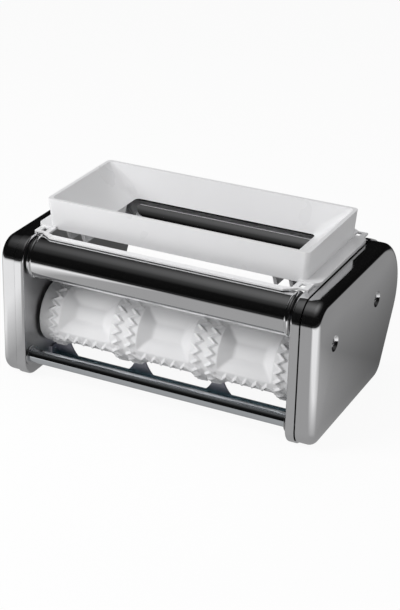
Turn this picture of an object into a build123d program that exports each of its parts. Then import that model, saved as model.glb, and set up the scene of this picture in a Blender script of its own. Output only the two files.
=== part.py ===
from build123d import *
import os
from math import acos, cos, pi, radians, sin, sqrt, tan

# Ravioli maker. Millimetres. X runs along the rollers, Y from front to back, Z up.
# The origin is under the middle of the object, on the surface that it stands on.

# overall
PLATE_DEPTH = 136.0
PLATE_HEIGHT = 91.0
INNER_WIDTH = 172.0
RIM_WIDTH = 5.8
COVER_GAP = 0.6
OUTER_COVER_WIDTH = 10.6
OUTER_COVER_INSET = 0.8
SHEET = 1.2

# outline of the ends, seen from the side
FRONT_BOTTOM_RADIUS = 12.0
BACK_BOTTOM_RADIUS = 14.0
BACK_TOP_RADIUS = 36.0
FRONT_TOP_RADIUS = 14.0
BACK_LEAN = 30.0
RIM_BEND = 1.5
OUTER_COVER_EDGE = 5.0

# rollers
CELL = 44.0
CELL_GAP = 9.0
CELLS_LONG = 3
CELLS_ROUND = 3
RIB_HEIGHT = 1.5
RIB_CREST = 1.0
RIB_FOOT = 3.2
RIB_ROOT = 1.0
TOOTH_SWING = 2.2
TEETH_PER_CELL = 7
ROW_END_LEG = 7.5
ROW_STEPS = 9
ROW_ANGLE = 206.0
ROLLER_GAP = 0.4
FRONT_ROLLER_Y = -33.5
ROLLER_Z = 34.5
POCKET_FLOOR_LENGTH = 18.0
POCKET_FLOOR_WIDTH = 15.0
POCKET_DEPTH = 6.0
POCKET_END_DRAFT = 1.35
POCKET_SIDE_DRAFT = 1.6
POCKET_FILLET = 2.5

# shafts, bushes and gears
SHAFT_RADIUS = 6.0
SHAFT_RIGHT_PROUD = 7.5
SHAFT_LEFT_PROUD = 13.5
BUSH_RADIUS = 9.0
BUSH_FLANGE_RADIUS = 11.5
BUSH_FLANGE = 0.8
BUSH_LENGTH = 3.4
RUNNING_FIT = 0.05
SIDE_PLAY = 0.6
GEAR_TEETH = 20
GEAR_WIDTH = 6.0
GEAR_HUB_RADIUS = 10.0
GEAR_HUB_LENGTH = 2.6
GEAR_BACKLASH = 0.35
PRESSURE_ANGLE = 20.0
DEDENDUM = 1.25
FLANK_STEPS = 4
KEY_WIDTH = 3.0
KEY_HEIGHT = 2.6
CLIP_WIDTH = 1.0
CLIP_GROOVE_DEPTH = 0.8
CLIP_RADIUS = 8.0
CLIP_OPENING = 7.0

# crank socket
SOCKET_RADIUS = 3.5
SOCKET_DEPTH = 16.0
SOCKET_SLOT = 2.4
SOCKET_SLOT_DEPTH = 4.0
CRANK_BUSH_RADIUS = 9.0
CRANK_BUSH_BORE = 6.8
CRANK_BUSH_FLANGE = 11.5

# front and rear covers
COVER_SHEET = 1.0
COVER_END_GAP = 1.4
FRONT_CREST_RADIUS = 13.0
FRONT_COVER_INSET = 2.0
FRONT_CREST_DROP = 0.5
FRONT_COVER_WRAP = 50.0
REAR_CREST_RADIUS = 12.0
REAR_COVER_INSET = 2.0
REAR_COVER_WRAP = 8.0
INNER_WALL_LEAN = 25.0
INNER_WALL_BOTTOM = 70.0
BEAD_RADIUS = 1.6
BEAD_PROUD = 0.7
CHEEK = 1.2

# tie rods and their fasteners
ROD_RADIUS = 4.25
ROD_STUD_RADIUS = 3.0
LOWER_ROD_INSET = 7.0
LOWER_ROD_Z = 14.3
UPPER_ROD_DROP = 12.5
ROD_HOLE_FIT = 0.05
WASHER_RADIUS = 6.2
WASHER = 1.0
NUT_SIZE = 10.0
NUT_HEIGHT = 4.0
STUD_PAST_NUT = 1.3

# outer cover fixings
POST_RADIUS = 4.0
POST_SPIGOT_RADIUS = 2.4
DIMPLE_RADIUS = 5.0
DIMPLE_FLOOR_RADIUS = 3.5
DIMPLE_DEPTH = 2.6
SCREW_RADIUS = 1.75
SCREW_LENGTH = 8.0
SCREW_HEAD_RADIUS = 3.0
SCREW_HEAD = 1.8
RECESS_LENGTH = 3.6
RECESS_WIDTH = 0.8
RECESS_DEPTH = 0.9
SCREW_FIT = 0.1
POST_PLACES = (-40.0, 27.0)
RIGHT_POST_Z = 58.5
LEFT_POST_Z = 66.0

# combs that strip the ravioli off the rollers
COMB_SHEET = 1.2
COMB_INWARD = 4.7
COMB_LIFT = 0.8
COMB_FLANGE = 9.2
COMB_BAR = 1.8
FINGER_TIP = 5.0
FINGER_ROOT = 17.0
FINGER_BOW = 1.0
COMB_CLEARANCE = 0.4
EAR_HEIGHT = 9.2
EAR_HOLE = 5.2
COMB_SCREW_RADIUS = 1.5
COMB_SCREW_HEAD_RADIUS = 2.8
COMB_SCREW_HEAD = 1.6

# hopper
HOPPER_END_INSET = 1.1
HOPPER_DEPTH = 76.4
HOPPER_Y = -2.7
HOPPER_HEIGHT = 19.4
HOPPER_WALL = 2.2
HOPPER_TAPER = 1.4
THROAT_END_INSET = 25.0
THROAT_DEPTH = 62.4
LEDGE_HEIGHT = 6.5
LEDGE_RUN = 9.0
HOPPER_CORNER = 3.0
LEDGE_CORNER = 8.0
FLANGE_DEPTH = 76.6
FLANGE_INSET = 7.0
FLANGE = 2.0
FLANGE_CORNER = 5.0
STRIP_REACH = 13.7
STRIP_WIDTH = 4.2
STRIP_HEIGHT = 1.2
STRIP_END_INSET = 10.5
FOOT_BEND_RUN = 7.2
FOOT_BEND_DEPTH = 5.2
FOOT_LIP = 5.9
FOOT_SLOT_LENGTH = 3.2
FOOT_SLOT_DEPTH = 5.0
FIN_THICKNESS = 2.2
FIN_DROP = 7.3
FIN_LEAN = 25.0
FIN_DEPTH = 54.7
FIN_SINK = 0.4
THROAT_FIN_OUT = 1.7
SLOPE_FIN_OUT = 11.8
TAB_LENGTH = 30.0
TAB_DEPTH = 8.0
TAB_THICKNESS = 2.4
TAB_CLEARANCE = 0.4
CREST_CLEARANCE = 0.3

# values that follow from the sizes above
FRONT_Y = -PLATE_DEPTH / 2
BACK_Y = PLATE_DEPTH / 2
WEB_X = INNER_WIDTH / 2
WEB_OUT_X = WEB_X + SHEET
RIM_X = WEB_X + RIM_WIDTH
COVER_X = RIM_X + COVER_GAP
END_X = COVER_X + OUTER_COVER_WIDTH
SHAFT_RIGHT_END = WEB_X + SHAFT_RIGHT_PROUD
SHAFT_LEFT_END = WEB_X + SHAFT_LEFT_PROUD
HOPPER_LENGTH = INNER_WIDTH - 2 * HOPPER_END_INSET
HOPPER_BOTTOM = PLATE_HEIGHT
HOPPER_TOP = HOPPER_BOTTOM + HOPPER_HEIGHT
THROAT_LENGTH = INNER_WIDTH - 2 * THROAT_END_INSET
FLANGE_LENGTH = 2 * RIM_X
FLANGE_INNER = WEB_X - FLANGE_INSET
STRIP_LENGTH = INNER_WIDTH - 2 * STRIP_END_INSET
THROAT_FIN_X = THROAT_LENGTH / 2 + THROAT_FIN_OUT
SLOPE_FIN_X = THROAT_LENGTH / 2 + SLOPE_FIN_OUT
TIP_RADIUS = CELLS_ROUND * CELL / (2 * pi)
BASE_RADIUS = TIP_RADIUS - RIB_HEIGHT
AXIS_DISTANCE = 2 * TIP_RADIUS + ROLLER_GAP
REAR_ROLLER_Y = FRONT_ROLLER_Y + AXIS_DISTANCE
NIP_Y = FRONT_ROLLER_Y + AXIS_DISTANCE / 2
ROLLER_END_X = WEB_X - BUSH_FLANGE - SIDE_PLAY
PITCH = CELL + CELL_GAP
GEAR_MODULE = AXIS_DISTANCE / GEAR_TEETH
GEAR_X = WEB_X + BUSH_LENGTH + SIDE_PLAY
COVER_END_X = WEB_X - COVER_END_GAP
FRONT_CREST_Y = FRONT_Y + FRONT_COVER_INSET + FRONT_CREST_RADIUS
FRONT_CREST_Z = PLATE_HEIGHT - FRONT_CREST_DROP - FRONT_CREST_RADIUS
BACK_ARC_Y = BACK_Y - BACK_TOP_RADIUS
BACK_ARC_Z = PLATE_HEIGHT - BACK_TOP_RADIUS
REAR_CREST_Z = PLATE_HEIGHT - REAR_COVER_INSET - REAR_CREST_RADIUS
LOWER_ROD_Y = FRONT_Y + LOWER_ROD_INSET
RODS = {
    "front_lower_tie_rod": (LOWER_ROD_Y, LOWER_ROD_Z),
    "rear_lower_tie_rod": (2 * NIP_Y - LOWER_ROD_Y, LOWER_ROD_Z),
    "front_upper_tie_rod": (FRONT_CREST_Y, PLATE_HEIGHT - UPPER_ROD_DROP),
    "rear_upper_tie_rod": (BACK_ARC_Y, PLATE_HEIGHT - UPPER_ROD_DROP),
}
COMB_BACK_Y = FRONT_ROLLER_Y + COMB_INWARD
EAR_Y = COMB_BACK_Y - EAR_HOLE
EAR_Z = COMB_LIFT + EAR_HOLE
DIMPLE_FLOOR_X = END_X - DIMPLE_DEPTH
POST_END_X = DIMPLE_FLOOR_X - SHEET
RIGHT_POSTS = [(y, RIGHT_POST_Z) for y in POST_PLACES]
LEFT_POSTS = [(y, LEFT_POST_Z) for y in POST_PLACES]


def along_x(face, start, end):
    """A face drawn in Y and Z, drawn out along X."""
    return extrude(Plane.YZ.offset(start) * face, amount=end - start)


def rod_x(radius, start, end, y, z):
    """A round bar along X."""
    return along_x(Pos(y, z) * Circle(radius), start, end)


def to_left(shape):
    """The same piece on the other end."""
    return mirror(shape, about=Plane.YZ)


def on_both_sides(shape):
    return [shape, to_left(shape)]


def end_outline():
    """The outline of the ends: upright front, level top, back leaning in towards the foot."""
    half_turn = radians((90 + BACK_LEAN) / 2)
    apex_y = BACK_ARC_Y + BACK_TOP_RADIUS * tan(half_turn)
    heel_y = apex_y - PLATE_HEIGHT * tan(radians(BACK_LEAN))
    corners = [(FRONT_Y, 0), (heel_y, 0), (apex_y, PLATE_HEIGHT), (FRONT_Y, PLATE_HEIGHT)]
    radii = [FRONT_BOTTOM_RADIUS, BACK_BOTTOM_RADIUS, BACK_TOP_RADIUS, FRONT_TOP_RADIUS]
    return make_face(FilletPolyline(corners, radius=radii, close=True))


def side_plate(posts):
    """A pressed plate with its rim turned outwards, for the right end."""
    outline = end_outline()
    inner = offset(outline, amount=-SHEET)
    plate = along_x(outline, WEB_X, RIM_X)
    plate = fillet(plate.faces().sort_by(Axis.X)[0].edges(), RIM_BEND)
    plate -= along_x(inner, WEB_OUT_X, RIM_X)
    for y in (FRONT_ROLLER_Y, REAR_ROLLER_Y):
        plate -= rod_x(BUSH_RADIUS, WEB_X, WEB_OUT_X, y, ROLLER_Z)
    for y, z in RODS.values():
        plate -= rod_x(ROD_STUD_RADIUS + ROD_HOLE_FIT, WEB_X, WEB_OUT_X, y, z)
    for y, z in posts:
        plate -= rod_x(POST_SPIGOT_RADIUS + ROD_HOLE_FIT, WEB_X, WEB_OUT_X, y, z)
    for y in comb_ear_places():
        plate -= rod_x(COMB_SCREW_RADIUS + ROD_HOLE_FIT, WEB_X, WEB_OUT_X, y, EAR_Z)
    return plate


def outer_cover(posts):
    """A deep-drawn cover with a round edge and a dimple round each screw, for the right end."""
    outline = offset(end_outline(), amount=-OUTER_COVER_INSET)
    cover = along_x(outline, COVER_X, END_X)
    cover = fillet(cover.faces().sort_by(Axis.X)[-1].edges(), OUTER_COVER_EDGE)
    cavity = along_x(offset(outline, amount=-SHEET), COVER_X, END_X - SHEET)
    cavity = fillet(cavity.faces().sort_by(Axis.X)[-1].edges(), OUTER_COVER_EDGE - SHEET)
    cover -= cavity
    middle = (END_X + DIMPLE_FLOOR_X) / 2
    for y, z in posts:
        backing = Cone(DIMPLE_FLOOR_RADIUS + SHEET, DIMPLE_RADIUS + SHEET, DIMPLE_DEPTH)
        hollow = Cone(DIMPLE_FLOOR_RADIUS, DIMPLE_RADIUS, DIMPLE_DEPTH)
        cover += Pos(middle - SHEET, y, z) * Rot(0, 90, 0) * backing
        cover -= Pos(middle, y, z) * Rot(0, 90, 0) * hollow
        cover -= rod_x(SCREW_RADIUS + SCREW_FIT, POST_END_X, DIMPLE_FLOOR_X, y, z)
    return cover


def left_outer_cover():
    """The left cover, with the hole that the crank goes through."""
    cover = to_left(outer_cover(LEFT_POSTS))
    return cover - rod_x(CRANK_BUSH_RADIUS, -END_X, -END_X + SHEET, FRONT_ROLLER_Y, ROLLER_Z)


def front_cover_line():
    """The outer line of the front cover: round crest that curls in below, sloping inner wall."""
    lean = radians(INNER_WALL_LEAN)
    radius = FRONT_CREST_RADIUS
    tangent = (FRONT_CREST_Y + radius * cos(lean), FRONT_CREST_Z + radius * sin(lean))
    fall = tangent[1] - INNER_WALL_BOTTOM
    foot = (tangent[0] + fall * tan(lean), INNER_WALL_BOTTOM)
    start = 180 + FRONT_COVER_WRAP
    crest = CenterArc((FRONT_CREST_Y, FRONT_CREST_Z), radius, start, INNER_WALL_LEAN - start)
    return Wire([crest.edge(), Line(tangent, foot).edge()])


def rear_cover_line():
    """The outer line of the rear cover: sloping inner wall, round crest, back that follows the ends."""
    lean = radians(INNER_WALL_LEAN)
    tangent = (BACK_ARC_Y - REAR_CREST_RADIUS * cos(lean), REAR_CREST_Z + REAR_CREST_RADIUS * sin(lean))
    fall = tangent[1] - INNER_WALL_BOTTOM
    foot = (tangent[0] - fall * tan(lean), INNER_WALL_BOTTOM)
    back_radius = BACK_TOP_RADIUS - REAR_COVER_INSET
    crest = CenterArc((BACK_ARC_Y, REAR_CREST_Z), REAR_CREST_RADIUS, 180 - INNER_WALL_LEAN, INNER_WALL_LEAN - 90)
    back = CenterArc((BACK_ARC_Y, BACK_ARC_Z), back_radius, 90, -90 - REAR_COVER_WRAP)
    return Wire([Line(foot, tangent).edge(), crest.edge(), back.edge()])


def sheet_section(line):
    """The cross-section of sheet lying inside an outer line."""
    inner = offset(line, amount=-COVER_SHEET, side=Side.RIGHT, closed=True)
    return make_face(inner)


def end_bead(line):
    """The rolled edge at the right end of a cover, along its outer line."""
    inward = BEAD_RADIUS - BEAD_PROUD
    middle = offset(line, amount=-inward, side=Side.RIGHT, closed=False)
    path = Plane.YZ.offset(COVER_END_X - BEAD_RADIUS) * middle
    return sweep(Plane(origin=path @ 0, z_dir=path % 0) * Circle(BEAD_RADIUS), path=path)


def chrome_cover(line, rod):
    """A bent sheet over one roller, with a cheek in each end that the tie rod goes through."""
    cover = along_x(sheet_section(line), -COVER_END_X, COVER_END_X)
    closed = Wire([*line.edges(), Line(line @ 1, line @ 0).edge()])
    cheek = along_x(make_face(closed), COVER_END_X - CHEEK, COVER_END_X)
    cheek -= rod_x(ROD_RADIUS + ROD_HOLE_FIT, COVER_END_X - CHEEK, COVER_END_X, *rod)
    for piece in on_both_sides(cheek) + on_both_sides(end_bead(line)):
        cover += piece
    return cover


def front_cover():
    return chrome_cover(front_cover_line(), RODS["front_upper_tie_rod"])


def rear_cover():
    return chrome_cover(rear_cover_line(), RODS["rear_upper_tie_rod"])


def tie_rod(place):
    """A bar between the end plates, with a thinner threaded stud through each of them."""
    shoulder = WEB_X - WASHER
    stud = WEB_OUT_X + NUT_HEIGHT + STUD_PAST_NUT
    return rod_x(ROD_RADIUS, -shoulder, shoulder, *place) + rod_x(ROD_STUD_RADIUS, -stud, stud, *place)


def rod_washers():
    """A washer between each end plate and each tie rod's shoulder."""
    washers = []
    for place in RODS.values():
        ring = Circle(WASHER_RADIUS) - Circle(ROD_STUD_RADIUS + ROD_HOLE_FIT)
        washers += on_both_sides(along_x(Pos(*place) * ring, WEB_X - WASHER, WEB_X))
    return washers


def rod_nuts():
    """The nuts on the right ends of the tie rods, outside the plate."""
    across_corners = NUT_SIZE / cos(radians(30)) / 2
    section = RegularPolygon(across_corners, 6) - Circle(ROD_STUD_RADIUS)
    return [along_x(Pos(*p) * section, WEB_OUT_X, WEB_OUT_X + NUT_HEIGHT) for p in RODS.values()]


def cover_posts(places):
    """Threaded posts riveted to the right end plate, which carry the outer cover."""
    posts = []
    for y, z in places:
        post = rod_x(POST_RADIUS, WEB_OUT_X, POST_END_X, y, z)
        post += rod_x(POST_SPIGOT_RADIUS, WEB_X, WEB_OUT_X, y, z)
        post -= rod_x(SCREW_RADIUS, DIMPLE_FLOOR_X - SCREW_LENGTH, POST_END_X, y, z)
        posts.append(post)
    return posts


def cross_recess(x, y, z):
    """The cross in a screw's head, cut in from its face."""
    cross = Rectangle(RECESS_LENGTH, RECESS_WIDTH) + Rectangle(RECESS_WIDTH, RECESS_LENGTH)
    return along_x(Pos(y, z) * cross, x - RECESS_DEPTH, x)


def cover_screws(places):
    """The screws that hold the right outer cover on its posts."""
    screws = []
    head_end = DIMPLE_FLOOR_X + SCREW_HEAD
    for y, z in places:
        screw = rod_x(SCREW_HEAD_RADIUS, DIMPLE_FLOOR_X, head_end, y, z)
        screw += rod_x(SCREW_RADIUS, DIMPLE_FLOOR_X - SCREW_LENGTH, DIMPLE_FLOOR_X, y, z)
        screws.append(screw - cross_recess(head_end, y, z))
    return screws


def comb_ear_places():
    """Where the combs are screwed to the end plates, front and rear."""
    return (EAR_Y, 2 * NIP_Y - EAR_Y)


def comb_tip_z():
    """Where a finger ends, just clear of the rib tips of the front roller."""
    reach = TIP_RADIUS + COMB_CLEARANCE
    off = COMB_INWARD - COMB_SHEET
    return ROLLER_Z - sqrt(reach ** 2 - off ** 2)


def comb_window(middle):
    """One gap between two fingers, which grow thinner towards the roller."""
    tip_z = comb_tip_z()
    root_z = COMB_LIFT + COMB_BAR
    half_tip = (PITCH - FINGER_TIP) / 2
    half_root = (PITCH - FINGER_ROOT) / 2
    middle_z = (tip_z + root_z) / 2
    middle_half = (half_tip + half_root) / 2 + FINGER_BOW
    right = ThreePointArc((half_root, root_z), (middle_half, middle_z), (half_tip, tip_z))
    left = ThreePointArc((-half_tip, tip_z), (-middle_half, middle_z), (-half_root, root_z))
    top = Line((half_tip, tip_z), (-half_tip, tip_z))
    root = Line((-half_root, root_z), (half_root, root_z))
    return Pos(middle, 0) * make_face(Wire([right.edge(), top.edge(), left.edge(), root.edge()]))


def front_comb():
    """Bent sheet: fingers that stand up to the roller, a flange below them and an ear at each end."""
    height = comb_tip_z() - COMB_LIFT
    sheet = Pos(0, COMB_LIFT + height / 2) * Rectangle(INNER_WIDTH, height)
    for cell in range(CELLS_LONG):
        sheet -= comb_window((cell - (CELLS_LONG - 1) / 2) * PITCH)
    comb = extrude(Plane.XZ.offset(-COMB_BACK_Y) * sheet, amount=COMB_SHEET)
    flange = Box(INNER_WIDTH, COMB_FLANGE, COMB_SHEET, align=(Align.CENTER, Align.MAX, Align.MIN))
    comb += Pos(0, COMB_BACK_Y, COMB_LIFT) * flange
    ear = Pos(COMB_BACK_Y - COMB_FLANGE / 2, COMB_LIFT + EAR_HEIGHT / 2) * Rectangle(COMB_FLANGE, EAR_HEIGHT)
    ear -= Pos(EAR_Y, EAR_Z) * Circle(COMB_SCREW_RADIUS)
    for piece in on_both_sides(along_x(ear, WEB_X - COMB_SHEET, WEB_X)):
        comb += piece
    return comb


def comb_screws():
    """The screws through the right end plate into the ears of both combs."""
    screws = []
    for y in comb_ear_places():
        shank = rod_x(COMB_SCREW_RADIUS, WEB_X - COMB_SHEET, WEB_OUT_X, y, EAR_Z)
        head = rod_x(COMB_SCREW_HEAD_RADIUS, WEB_OUT_X, WEB_OUT_X + COMB_SCREW_HEAD, y, EAR_Z)
        screws.append(shank + head)
    return screws


def front_right_bush():
    """A flanged bush in the right end plate, with the flange towards the roller."""
    place = (FRONT_ROLLER_Y, ROLLER_Z)
    bush = rod_x(BUSH_RADIUS, WEB_X, WEB_X + BUSH_LENGTH, *place)
    bush += rod_x(BUSH_FLANGE_RADIUS, WEB_X - BUSH_FLANGE, WEB_X, *place)
    return bush - rod_x(SHAFT_RADIUS + RUNNING_FIT, WEB_X - BUSH_FLANGE, WEB_X + BUSH_LENGTH, *place)


def crank_bush():
    """The bush in the left outer cover that the crank goes through."""
    place = (FRONT_ROLLER_Y, ROLLER_Z)
    inner_face = -END_X + SHEET
    bush = rod_x(CRANK_BUSH_RADIUS, -END_X, inner_face, *place)
    bush += rod_x(CRANK_BUSH_FLANGE, inner_face, inner_face + SHEET, *place)
    return bush - rod_x(CRANK_BUSH_BORE, -END_X, inner_face + SHEET, *place)


def involute(angle):
    return tan(angle) - angle


def gear_face(phase):
    """A spur gear's outline round its own middle, with a tooth at the phase angle."""
    pitch = GEAR_MODULE * GEAR_TEETH / 2
    base = pitch * cos(radians(PRESSURE_ANGLE))
    root = pitch - DEDENDUM * GEAR_MODULE
    tip = pitch + GEAR_MODULE
    at_pitch = pi / (2 * GEAR_TEETH) - GEAR_BACKLASH / (4 * pitch) + involute(radians(PRESSURE_ANGLE))
    radii = [base + (tip - base) * step / FLANK_STEPS for step in range(FLANK_STEPS + 1)]
    flank = [(root, at_pitch)] + [(r, at_pitch - involute(acos(base / r))) for r in radii]
    points = []
    for tooth in range(GEAR_TEETH):
        middle = 2 * pi * tooth / GEAR_TEETH + phase
        rising = [(r, middle - half) for r, half in flank]
        falling = [(r, middle + half) for r, half in reversed(flank)]
        points += [(r * cos(a), r * sin(a)) for r, a in rising + falling]
    return make_face(Polyline(*points, close=True))


def key_slot(start, end):
    """The keyway's space, on top of the shaft."""
    return along_x(Pos(0, SHAFT_RADIUS) * Rectangle(KEY_WIDTH, KEY_HEIGHT), start, end)


def roller_gear(y, phase):
    """One of the two equal gears on the left ends of the shafts."""
    far_x = -GEAR_X - GEAR_WIDTH
    gear = along_x(gear_face(phase), far_x, -GEAR_X)
    gear += along_x(Circle(GEAR_HUB_RADIUS), far_x - GEAR_HUB_LENGTH, far_x)
    gear -= along_x(Circle(SHAFT_RADIUS), far_x - GEAR_HUB_LENGTH, -GEAR_X)
    gear -= key_slot(far_x - GEAR_HUB_LENGTH, -GEAR_X)
    return Pos(0, y, ROLLER_Z) * gear


def gear_key():
    """The key between the front gear and its shaft."""
    far_x = -GEAR_X - GEAR_WIDTH
    return Pos(0, FRONT_ROLLER_Y, ROLLER_Z) * key_slot(far_x, -GEAR_X)


def clip_x():
    """Where the retaining clip lies, just outside the right bush."""
    return WEB_X + BUSH_LENGTH + SIDE_PLAY / 2


def plain_shaft():
    """A roller's shaft round the X axis, with its keyway and clip groove."""
    shaft = along_x(Circle(SHAFT_RADIUS), -SHAFT_LEFT_END, SHAFT_RIGHT_END)
    groove = Circle(SHAFT_RADIUS) - Circle(SHAFT_RADIUS - CLIP_GROOVE_DEPTH)
    shaft -= along_x(groove, clip_x(), clip_x() + CLIP_WIDTH)
    return shaft - key_slot(-GEAR_X - GEAR_WIDTH, -GEAR_X)


def front_shaft():
    """The front shaft, which the crank turns: its left end is a socket with a cross slot."""
    mouth = -SHAFT_LEFT_END
    shaft = plain_shaft()
    shaft -= along_x(Circle(SOCKET_RADIUS), mouth, mouth + SOCKET_DEPTH)
    cross = Rectangle(2 * SHAFT_RADIUS, SOCKET_SLOT)
    shaft -= along_x(cross, mouth, mouth + SOCKET_SLOT_DEPTH)
    return Pos(0, FRONT_ROLLER_Y, ROLLER_Z) * shaft


def shaft_clip(y):
    """An open retaining ring in the shaft's groove."""
    ring = Circle(CLIP_RADIUS) - Circle(SHAFT_RADIUS - CLIP_GROOVE_DEPTH)
    ring -= Pos(0, -CLIP_RADIUS) * Rectangle(CLIP_OPENING, 2 * CLIP_RADIUS - CLIP_OPENING)
    return Pos(0, y, ROLLER_Z) * along_x(ring, clip_x(), clip_x() + CLIP_WIDTH)


def ring_section(x, angle):
    """The cross-section of a rib where it passes an angle round the roller."""
    low = BASE_RADIUS - RIB_ROOT
    foot = RIB_FOOT / sqrt(2)
    crest = RIB_CREST / sqrt(2)
    corners = [(x - foot, low), (x + foot, low), (x + crest, TIP_RADIUS), (x - crest, TIP_RADIUS)]
    points = [(across, radius * cos(angle), radius * sin(angle)) for across, radius in corners]
    return make_face(Polyline(*points, close=True))


def ring_rib(x, row):
    """A toothed rib round the roller, along one cell."""
    steps = 2 * TEETH_PER_CELL
    start = 2 * pi * row / CELLS_ROUND
    sections = []
    for step in range(steps + 1):
        angle = start + 2 * pi * step / (steps * CELLS_ROUND)
        swing = TOOTH_SWING if step % 2 else -TOOTH_SWING
        sections.append(ring_section(x + swing, angle))
    return loft(sections, ruled=True)


def row_outline(width):
    """A toothed band along the roller, as wide as the rib at one height."""
    step = (CELL - 2 * ROW_END_LEG) / ROW_STEPS
    stops = [-CELL / 2] + [ROW_END_LEG - CELL / 2 + step * i for i in range(ROW_STEPS + 1)] + [CELL / 2]
    half = width / sqrt(2)
    swings = [TOOTH_SWING if i % 2 == 0 else -TOOTH_SWING for i in range(len(stops))]
    upper = [(x, t + half) for x, t in zip(stops, swings)]
    lower = [(x, t - half) for x, t in zip(stops, swings)]
    return make_face(Polyline(*upper, *reversed(lower), close=True))


def row_rib(middle, angle):
    """A toothed rib along the roller, between two cells of one ring."""
    foot = Plane.XY.offset(BASE_RADIUS - RIB_ROOT) * row_outline(RIB_FOOT)
    crest = Plane.XY.offset(TIP_RADIUS) * row_outline(RIB_CREST)
    return Rot(angle - 90, 0, 0) * Pos(middle, 0, 0) * loft([foot, crest], ruled=True)


def pocket_cutter():
    """The hollow that forms a filled cell, above the X axis."""
    rise = POCKET_DEPTH + RIB_HEIGHT
    floor = Rectangle(POCKET_FLOOR_LENGTH, POCKET_FLOOR_WIDTH)
    mouth_length = POCKET_FLOOR_LENGTH + 2 * rise * POCKET_END_DRAFT
    mouth_width = POCKET_FLOOR_WIDTH + 2 * rise * POCKET_SIDE_DRAFT
    mouth = Rectangle(mouth_length, mouth_width)
    low = BASE_RADIUS - POCKET_DEPTH
    cutter = loft([Plane.XY.offset(low) * floor, Plane.XY.offset(low + rise) * mouth])
    return fillet(cutter.faces().sort_by(Axis.Z)[0].edges(), POCKET_FILLET)


def front_roller():
    """A roller with rings of cells: pockets, toothed ribs round them and along them."""
    roller = along_x(Circle(BASE_RADIUS) - Circle(SHAFT_RADIUS), -ROLLER_END_X, ROLLER_END_X)
    cutter = pocket_cutter()
    ribs = []
    pockets = []
    for row in range(CELLS_ROUND):
        row_angle = ROW_ANGLE + 360 * row / CELLS_ROUND
        for cell in range(CELLS_LONG):
            middle = (cell - (CELLS_LONG - 1) / 2) * PITCH
            ribs.append(row_rib(middle, row_angle))
            for edge in (-CELL / 2, CELL / 2):
                ribs.append(Rot(ROW_ANGLE, 0, 0) * ring_rib(middle + edge, row))
            pocket_angle = row_angle + 180 / CELLS_ROUND
            pockets.append(Rot(pocket_angle - 90, 0, 0) * Pos(middle, 0, 0) * cutter)
    roller = roller.cut(*pockets)
    roller = roller.fuse(*ribs)
    return Pos(0, FRONT_ROLLER_Y, ROLLER_Z) * roller


def hopper_frame(length, depth, z, corner=HOPPER_CORNER):
    """A rectangle with round corners at a height, centred over the hopper's middle."""
    return Plane.XY.offset(z) * Pos(0, HOPPER_Y) * RectangleRounded(length, depth, corner)


def hopper_bin():
    """The open bin: steep front and back, ends that slope in two steps to the throat."""
    wall = 2 * HOPPER_WALL
    taper = 2 * HOPPER_TAPER
    ledge_z = HOPPER_BOTTOM + LEDGE_HEIGHT
    rise = HOPPER_TOP - HOPPER_BOTTOM
    ledge_depth = THROAT_DEPTH + (HOPPER_DEPTH - wall - THROAT_DEPTH) * LEDGE_HEIGHT / rise
    shell = loft([
        hopper_frame(HOPPER_LENGTH - taper, HOPPER_DEPTH - taper, HOPPER_BOTTOM),
        hopper_frame(HOPPER_LENGTH, HOPPER_DEPTH, HOPPER_TOP),
    ])
    ledge = hopper_frame(THROAT_LENGTH + 2 * LEDGE_RUN, ledge_depth, ledge_z, LEDGE_CORNER)
    shell -= loft([ledge, hopper_frame(HOPPER_LENGTH - wall, HOPPER_DEPTH - wall, HOPPER_TOP)])
    shell -= loft([hopper_frame(THROAT_LENGTH, THROAT_DEPTH, HOPPER_BOTTOM), ledge])
    return shell


def hopper_hollow():
    """The hollow under the right end's slope, open below."""
    inner_end = HOPPER_LENGTH / 2 - HOPPER_TAPER - HOPPER_WALL
    ledge_x = THROAT_LENGTH / 2 + LEDGE_RUN + HOPPER_WALL
    slope = (HOPPER_TOP - HOPPER_BOTTOM - LEDGE_HEIGHT) / (HOPPER_LENGTH / 2 - HOPPER_WALL - ledge_x)
    top_z = HOPPER_BOTTOM + LEDGE_HEIGHT + slope * (inner_end - ledge_x) - 2 * HOPPER_WALL
    points = [
        (THROAT_LENGTH / 2 + 2 * HOPPER_WALL, HOPPER_BOTTOM),
        (ledge_x, HOPPER_BOTTOM + LEDGE_HEIGHT - HOPPER_WALL / 2),
        (inner_end, top_z),
        (inner_end, HOPPER_BOTTOM),
    ]
    depth = HOPPER_DEPTH - 2 * HOPPER_TAPER - 2 * HOPPER_WALL
    section = Plane.XZ.offset(-HOPPER_Y - depth / 2) * make_face(Polyline(*points, close=True))
    return extrude(section, amount=depth)


def strip_foot(front):
    """The right end of the strip: it bends back over the end plate to the flange, with a slot."""
    bend_x = STRIP_LENGTH / 2
    corner_x = bend_x + FOOT_BEND_RUN
    lip_x = corner_x + FOOT_LIP
    lip_y = front + FOOT_BEND_DEPTH
    flange_y = HOPPER_Y - FLANGE_DEPTH / 2
    back = flange_y + FLANGE
    inner = [(FLANGE_INNER, back), (FLANGE_INNER, lip_y), (bend_x, front + STRIP_WIDTH)]
    outer = [(bend_x, front), (corner_x, lip_y), (lip_x, lip_y), (lip_x, back)]
    foot = make_face(Polyline(*inner, *outer, close=True))
    slot = Rectangle(FOOT_SLOT_LENGTH, FOOT_SLOT_DEPTH)
    return foot - Pos((FLANGE_INNER + lip_x) / 2, (lip_y + flange_y) / 2) * slot


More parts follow.
